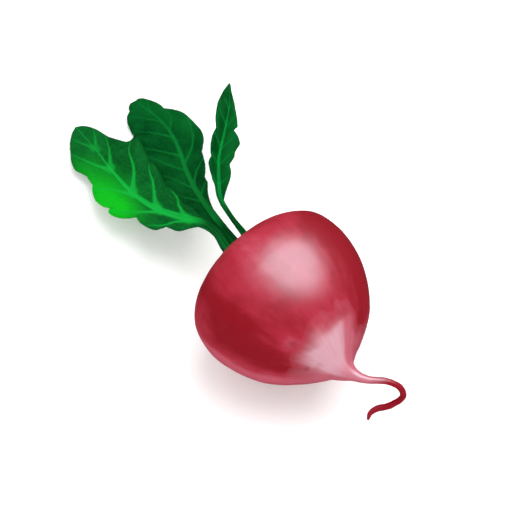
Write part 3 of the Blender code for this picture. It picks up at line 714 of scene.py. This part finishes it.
    def build(self):
        """Upper and lower points of the leaf, and the values that its material reads."""
        places = self.rows()
        halves = zip(self.half_grid(places, "left"), self.half_grid(places, "right"))
        along, across, from_edge, opened = (np.hstack([left[:, :0:-1], right]) for left, right in halves)
        branches = [branch for path in self.side_veins for branch in branches_of(path[:, :2])]
        side_away, side_cover = read_veins(self.side_veins, along, across)
        branch_away, branch_cover = read_veins(branches, along, across)
        thread, mesh_height = self.net(along, across)
        width, depth, tall = self.rib(places)[:, :, None]
        shown = self.table("midrib", places)[0][:, None]
        near_tip = TIP_FADING * smoothstep(*TIP_REACH, along / self.length)
        rib_cover = (1 - smoothstep(*MIDRIB_EDGE, np.abs(across) / shown)) * (1 - near_tip)
        vein_away = np.minimum(side_away, np.maximum(np.abs(across) - shown, 0))
        calm = smoothstep(0, CALM_MARGIN, from_edge) * opened
        quilting = calm * (
            VEIN_QUILTING * (1 - np.exp(-((vein_away / VEIN_QUILTING_REACH) ** 2)))
            + BRANCH_QUILTING * (1 - np.exp(-((branch_away / BRANCH_QUILTING_REACH) ** 2)))
            + NET_QUILTING * mesh_height
        )
        middle = self.surface(along, across, quilting)
        normal = unit(np.cross(np.gradient(middle, axis=1), np.gradient(middle, axis=0)))
        veins = np.maximum(side_cover, BRANCH_RIDGE * branch_cover) * opened
        rounding = EDGE_ROUNDING + (1 - opened) * PETIOLE_ROUNDING_SHARE * (np.abs(across) + from_edge)
        inward = 1 - np.clip(from_edge / rounding, 0, 1)
        thickness = BLADE_THICKNESS + (1 - opened) * (PETIOLE_THICKNESS - BLADE_THICKNESS)
        half = np.maximum(thickness / 2 * np.sqrt(1 - inward**2), LEAST_HALF_THICKNESS)
        inside = np.clip(1 - (across / width) ** 2, 0, 1)
        groove = np.minimum(PETIOLE_GROOVE, tall) * inside**2
        above = half + tall * np.sqrt(inside) - groove + RIDGE_ABOVE * veins
        below = half + depth * np.sqrt(inside) + RIDGE_BELOW * veins
        upper = middle + normal * above[..., None]
        lower = middle - normal * below[..., None]
        values = {
            "leaf_place": np.stack([along, across, 0 * along], axis=-1),
            "rib": rib_cover,
            "vein": side_cover * opened,
            "branch": branch_cover * calm,
            "net": thread * calm,
            # The leaf's tone is partly painted light and shade.
            "tone_and_painted_light": MIDDLE_TONE + soft_spots(self.design["tones_and_painted_light"], along, across),
            # Painted light: the bright yellow-green patches of lit leaf.
            "painted_lit_patch": np.clip(soft_spots(self.design["painted_lit_patch"], along, across), 0, 1),
            "petiole": 1 - smoothstep(*PETIOLE_END, along - self.blade_from),
        }
        return upper, lower, values


def leaf_faces(rows, columns):
    """Faces of the upper and lower grids and of the edge that joins them."""
    top = np.arange(rows * columns).reshape(rows, columns)
    upper = np.stack([top[:-1, :-1], top[:-1, 1:], top[1:, 1:], top[1:, :-1]], axis=-1).reshape(-1, 4)
    lower = upper[:, [0, 3, 2, 1]] + top.size
    edge = np.concatenate([top[:, 0], top[-1, 1:], top[-2::-1, -1], top[0, -2::-1]])
    sides = np.c_[edge[:-1], edge[1:], edge[1:] + top.size, edge[:-1] + top.size]
    return np.vstack([upper, lower, sides]).tolist()


# Materials

LAYER_SPACING = np.array([71, 37, 0])
# The look of each kind of material:
# lit: how bright the light makes white, by which the colours are divided.
# noise: the mesh value that each runs through, how close its lumps are (one number, or one for
#   each axis), its detail, and where they aren't usual its roughness, distortion and seed.
# sums: values that are the sum of others. Each counts by a number, or goes through a smooth ramp:
#   from where to where in it, and what the ramp gives there, where that isn't 0 and 1.
# mixtures: a colour, and the layers over it: the value that each follows, how much of it covers,
#   given as in the sums, and its colour.
# bumps: the value that each follows, its height (mm) and its strength.
SKIN = {
    "lit": 1.15,
    "settings": {
        "Specular IOR Level": 0.04, "Specular Tint": (1, 0.2, 0.4, 1), "Coat Weight": 0.2,
        "Coat Roughness": 0.36, "Coat IOR": 1.5, "Subsurface Weight": 0.06,
        "Subsurface Radius": (1, 0.3, 0.3), "Subsurface Scale": 0.0012,
    },
    "noise": {
        "blotches": ("place", 0.09, 2, 0.5, 0.3), "wide_dabs": ("place", 0.06, 0, 0.5, 0.6, 1),
        "dabs": ("place", 0.1, 0, 0.5, 0.6, 2), "small_dabs": ("place", 0.16, 0, 0.5, 0.6, 3),
        "streaks": ("around", (7, 7, 0.09), 4, 0.6), "specks": ("place", 1.6, 2),
        "rays": ("around", (4, 4, 0.06), 4), "fine_rays": ("around", (12, 12, 0.1), 3, 0.55),
        "lobes": ("place", 0.16, 0, 0.5, 0.4), "patches": ("place", 0.35, 3),
        "grain": ("place", 3.5, 3, 0.6),
    },
    "sums": {
        # Tone that paints light and shade, with random blotches, dabs, streaks and specks over it.
        "skin_tone_and_painted_light": {
            "tone_and_painted_light": 1, "blotches": (0.3, 0.7, 0.1, 0.36), "wide_dabs": (0.47, 0.55, 0, 0.12),
            "dabs": (0.47, 0.55, 0, 0.1), "small_dabs": (0.47, 0.55, 0, 0.07),
            "streaks": (0.3, 0.8, -0.12, 0.3), "specks": (0.6, 0.78, 0, 0.2),
        },
        "past_edge": {"pale": 1, "rays": (0.2, 0.8, -0.5, 0.5), "lobes": (0.3, 0.7, -0.9, 0.9)},
        "rosiness": {"rosy": 1, "fine_rays": (0.35, 0.8, 0, 0.36)},
        "mottles": {"streaks": 1, "patches": (0.3, 0.7)},
    },
    "mixtures": {
        "pale_end": ("pale", [("rosiness", (0, 1.1), "tip")]),
        "crown": ("green", [("mottles", (0.5, 1.5), "pink")]),
        "all": ("deep", [
            # Deep, mid and rose follow that tone: its low end is painted shade, its high end mostly
            # painted light bounced onto the underside.
            ("skin_tone_and_painted_light", (0, 0.75), "mid"), ("skin_tone_and_painted_light", (0.65, 1.6), "rose"),
            ("past_edge", (-3.4, -2.6, 0, 0.2), "tip"), ("past_edge", (-2.7, 2.7, 0, 0.92), "pale_end"),
            ("run", (44.5, 48.5, 0, 0.75), "tip"), ("run", (52, 59.5), "tail"), ("scar", 0.6, "scar"),
            ("crown", 1, "crown"),
        ]),
    },
    "roughness": ("patches", (0.3, 0.7, 0.48, 0.56)),
    "bumps": [("streaks", 0.1, 0.4), ("grain", 0.03, 0.5)],
}
LEAF = {
    "lit": 1.6,
    "settings": {
        "Specular IOR Level": 0.01, "Specular Tint": (0.05, 1, 0.2, 1), "Subsurface Weight": 0.06,
        "Subsurface Radius": (0.3, 1, 0.2), "Subsurface Scale": 0.0006,
    },
    "noise": {
        "softness": ("leaf_place", 0.16, 3, 0.5, 0.5), "flecks": ("leaf_place", 2.4, 3, 0.6),
        "on_rib": ("leaf_place", (0.12, 2.6, 1), 3), "on_stalk": ("leaf_place", (0.05, 2, 1), 3, 0.6),
        "grain": ("leaf_place", 5, 2),
    },
    "sums": {
        # The blade's tone, partly painted light and shade, with soft random noise.
        "blade_tone_and_painted_light": {"tone_and_painted_light": 1, "softness": (0.2, 0.8, -0.2, 0.2)},
        "threads": {"net": 0.1, "branch": 0.24},
    },
    "mixtures": {
        "midrib": ("rib", [("on_rib", (0.35, 0.7, 0, 0.35), "vein")]),
        "stalk": ("dark", [("on_stalk", (0.42, 0.64), "light")]),
        "all": ("dark", [
            # Dark to light follows the blade's tone, which partly paints light and shade.
            ("blade_tone_and_painted_light", (0, 1), "light"), ("painted_lit_patch", 1, "painted_lit_patch"), ("threads", 1, "vein"),
            ("flecks", (0.35, 0.75, 0, 0.2), "dark"), ("vein", 0.9, "vein"), ("rib", 0.95, "midrib"),
            # The painted light of the lit patches also shows faintly over the ribs and the petiole.
            ("petiole", 1, "stalk"), ("painted_lit_patch", 0.25, "painted_lit_patch"),
        ]),
    },
    "roughness": ("flecks", (0.3, 0.7, 0.36, 0.46)),
    "bumps": [("grain", 0.03, 0.5)],
}
# Colours as they show, from 0 to 255
SKIN_COLOURS = {
    "deep": (146, 3, 24), "mid": (174, 36, 56), "rose": (199, 85, 104), "pale": (216, 166, 178),
    "tip": (192, 96, 112), "tail": (150, 8, 30), "scar": (140, 22, 38), "green": (104, 124, 50),
    "pink": (180, 92, 90),
}
# The last colour of each leaf is the painted light of its lit patches.
LEAF_COLOUR_NAMES = ("dark", "light", "rib", "vein", "painted_lit_patch")
LEAF_COLOURS = {
    "leaf_front": [(8, 74, 31), (18, 122, 48), (25, 196, 74), (24, 188, 68), (22, 210, 34)],
    "leaf_back": [(2, 58, 22), (9, 106, 42), (15, 138, 56), (12, 128, 51), (22, 210, 34)],
    "leaf_young": [(0, 62, 23), (16, 112, 46), (21, 180, 77), (14, 142, 58), (22, 210, 34)],
}


def linear(shown, lit):
    """A linear colour from sRGB values as a picture shows them, in light that is lit times white."""
    shown = np.array(shown) / 255
    dark = np.where(shown <= 0.04045, shown / 12.92, ((shown + 0.055) / 1.055) ** 2.4)
    return (*(dark / lit).tolist(), 1)


class Shader:
    """One material, whose nodes are added from the tables of its look."""

    def __init__(self, name, settings):
        self.material = bpy.data.materials.new(name)
        self.material.use_nodes = True
        self.tree = self.material.node_tree
        self.surface = self.tree.nodes["Principled BSDF"]
        self.values = {}
        for key, value in settings.items():
            self.surface.inputs[key].default_value = value

    def add(self, kind, inputs, output=0, **settings):
        """A node with its settings made and its inputs linked or set. Gives back one output."""
        node = self.tree.nodes.new(kind)
        for key, value in settings.items():
            setattr(node, key, value)
        for key, value in inputs.items():
            if isinstance(value, bpy.types.NodeSocket):
                self.tree.links.new(value, node.inputs[key])
            else:
                node.inputs[key].default_value = value
        return node.outputs[output]

    def value(self, name):
        """A value worked out before, or else one that the mesh carries at each point."""
        if name not in self.values:
            self.values[name] = self.add("ShaderNodeAttribute", {}, "Fac", attribute_name=name)
        return self.values[name]

    def share(self, name, how):
        """A value times a number, or taken through a smooth ramp."""
        value = self.value(name)
        if not isinstance(how, tuple):
            return self.add("ShaderNodeMath", {0: value, 1: how}, operation="MULTIPLY")
        low, high, to_low, to_high = how if len(how) == 4 else (*how, 0, 1)
        inputs = {"Value": value, "From Min": low, "From Max": high, "To Min": to_low, "To Max": to_high}
        return self.add("ShaderNodeMapRange", inputs, interpolation_type="SMOOTHSTEP")

    def noise(self, name, close, detail, roughness=0.5, distortion=0, seed=0):
        """Noise that runs through one of the mesh's vectors."""
        vector = self.add("ShaderNodeAttribute", {}, "Vector", attribute_name=name)
        close = np.ones(3) * close
        inputs = {0: vector, 1: close, 2: close * seed * LAYER_SPACING}
        vector = self.add("ShaderNodeVectorMath", inputs, operation="MULTIPLY_ADD")
        inputs = {"Vector": vector, "Scale": 1, "Detail": detail}
        inputs |= {"Roughness": roughness, "Distortion": distortion}
        return self.add("ShaderNodeTexNoise", inputs)

    def total(self, parts):
        total, *others = (self.share(name, how) for name, how in parts.items())
        for other in others:
            total = self.add("ShaderNodeMath", {0: total, 1: other}, operation="ADD")
        return total

    def mixture(self, colours, base, layers):
        mixed = colours[base]
        for name, how, over in layers:
            inputs = {0: self.share(name, how), 6: mixed, 7: colours[over]}
            mixed = self.add("ShaderNodeMix", inputs, 2, data_type="RGBA")
        return mixed


def painted(name, look, colours):
    """A material made from its look and its named colours."""
    shader = Shader(name, look["settings"])
    colours = {kind: linear(shown, look["lit"]) for kind, shown in colours.items()}
    for kind, row in look["noise"].items():
        shader.values[kind] = shader.noise(*row)
    for kind, parts in look["sums"].items():
        shader.values[kind] = shader.total(parts)
    for kind, (base, layers) in look["mixtures"].items():
        colours[kind] = shader.mixture(colours, base, layers)
    normal = {}
    for kind, size, strength in look["bumps"]:
        inputs = {"Height": shader.value(kind), "Distance": size * MM, "Strength": strength}
        normal = {"Normal": shader.add("ShaderNodeBump", inputs | normal)}
    links = {"Base Color": colours["all"], "Roughness": shader.share(*look["roughness"])}
    for key, socket in (links | normal).items():
        shader.tree.links.new(socket, shader.surface.inputs[key])
    return shader.material


def build_root():
    points, values, counts = root_surface()
    material = painted("radish_skin", SKIN, SKIN_COLOURS)
    piece = mesh_piece("radish_root", points, root_faces(counts), values, material)
    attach(piece, "root")
    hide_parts("root")


def build_leaf(name):
    upper, lower, values = Leaf(name).build()
    points = np.vstack([upper, lower]).reshape(-1, 3)
    values = {key: np.vstack([value, value]) for key, value in values.items()}
    values = {key: value.reshape(-1, *value.shape[2:]) for key, value in values.items()}
    colours = dict(zip(LEAF_COLOUR_NAMES, LEAF_COLOURS[name]))
    material = painted(f"{name}_green", LEAF, colours)
    piece = mesh_piece(f"{name}_blade", points, leaf_faces(*upper.shape[:2]), values, material)
    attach(piece, "root")
    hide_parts(name)


# Stage, lights and camera

FLOOR_HALF_SIDE, FLOOR_DROP = 3, 0.00005
FLOOR_COLOUR = (0.93, 0.93, 0.93, 1)
FLOOR_SETTINGS = {
    "Base Color": FLOOR_COLOUR, "Roughness": 0.8, "Specular IOR Level": 0,
    "Emission Color": FLOOR_COLOUR, "Emission Strength": 0.15,
}
WORLD_COLOUR, WORLD_STRENGTH = (1, 1, 1, 1), 1
# The view: azimuth and elevation in degrees, the point looked at and the distance to it.
VIEW_AZIMUTH, VIEW_ELEVATION = 49, 60
VIEW_TARGET, VIEW_DISTANCE = (-10.47, 1.57, 29.18), 397.8
LENS, SENSOR = 100, 36
NEAREST_SHOWN, FURTHEST_SHOWN = 0.01, 20
# Each light: direction from the object, distance (m), width and height (m), power (W), colour, and
# whether it lights surfaces or shows in their gloss.
LIGHTS = {
    "softbox": ((0, 0.28, 0.95), 0.9, 0.7, 0.7, 5, (1, 1, 1), True),
    "gloss_panel": ((0.06, 0.32, 0.94), 0.9, 1.02, 1.27, 149, (0.66, 1.08, 1.14), False),
}


def build_stage():
    side = FLOOR_HALF_SIDE
    mesh = bpy.data.meshes.new("floor")
    corners = [(-side, -side, 0), (side, -side, 0), (side, side, 0), (-side, side, 0)]
    mesh.from_pydata(corners, [], [(0, 1, 2, 3)])
    mesh.materials.append(Shader("pale_floor", FLOOR_SETTINGS).material)
    floor = placed("floor", mesh)
    floor.location.z = -FLOOR_DROP
    floor.visible_glossy = False


def build_lights():
    world = bpy.data.worlds.new("studio")
    world.use_nodes = True
    background = world.node_tree.nodes["Background"]
    background.inputs["Color"].default_value = WORLD_COLOUR
    background.inputs["Strength"].default_value = WORLD_STRENGTH
    world.cycles_visibility.glossy = False
    bpy.context.scene.world = world
    for name, (direction, distance, width, height, power, tint, lights_surfaces) in LIGHTS.items():
        light = bpy.data.lights.new(name, "AREA")
        light.shape = "ELLIPSE"
        light.size, light.size_y = width, height
        light.energy = power
        light.color = tint
        lamp = placed(name, light)
        towards = Vector(direction).normalized()
        lamp.location = towards * distance
        lamp.rotation_euler = towards.to_track_quat("Z", "Y").to_euler()
        lamp.visible_diffuse = lights_surfaces
        lamp.visible_transmission = lights_surfaces
        lamp.visible_glossy = not lights_surfaces


def build_camera():
    azimuth, elevation = math.radians(VIEW_AZIMUTH), math.radians(VIEW_ELEVATION)
    flat = math.cos(elevation)
    back = Vector((math.sin(azimuth) * flat, -math.cos(azimuth) * flat, math.sin(elevation)))
    data = bpy.data.cameras.new("camera")
    data.lens = LENS
    data.sensor_width = SENSOR
    data.clip_start = NEAREST_SHOWN
    data.clip_end = FURTHEST_SHOWN
    camera = placed("camera", data)
    camera.location = (Vector(VIEW_TARGET) + back * VIEW_DISTANCE) * MM
    camera.rotation_euler = back.to_track_quat("Z", "Y").to_euler()
    bpy.context.scene.camera = camera


build_root()
for leaf_name in LEAVES:
    build_leaf(leaf_name)
build_stage()
build_lights()
build_camera()
bpy.context.scene.view_settings.view_transform = "Standard"
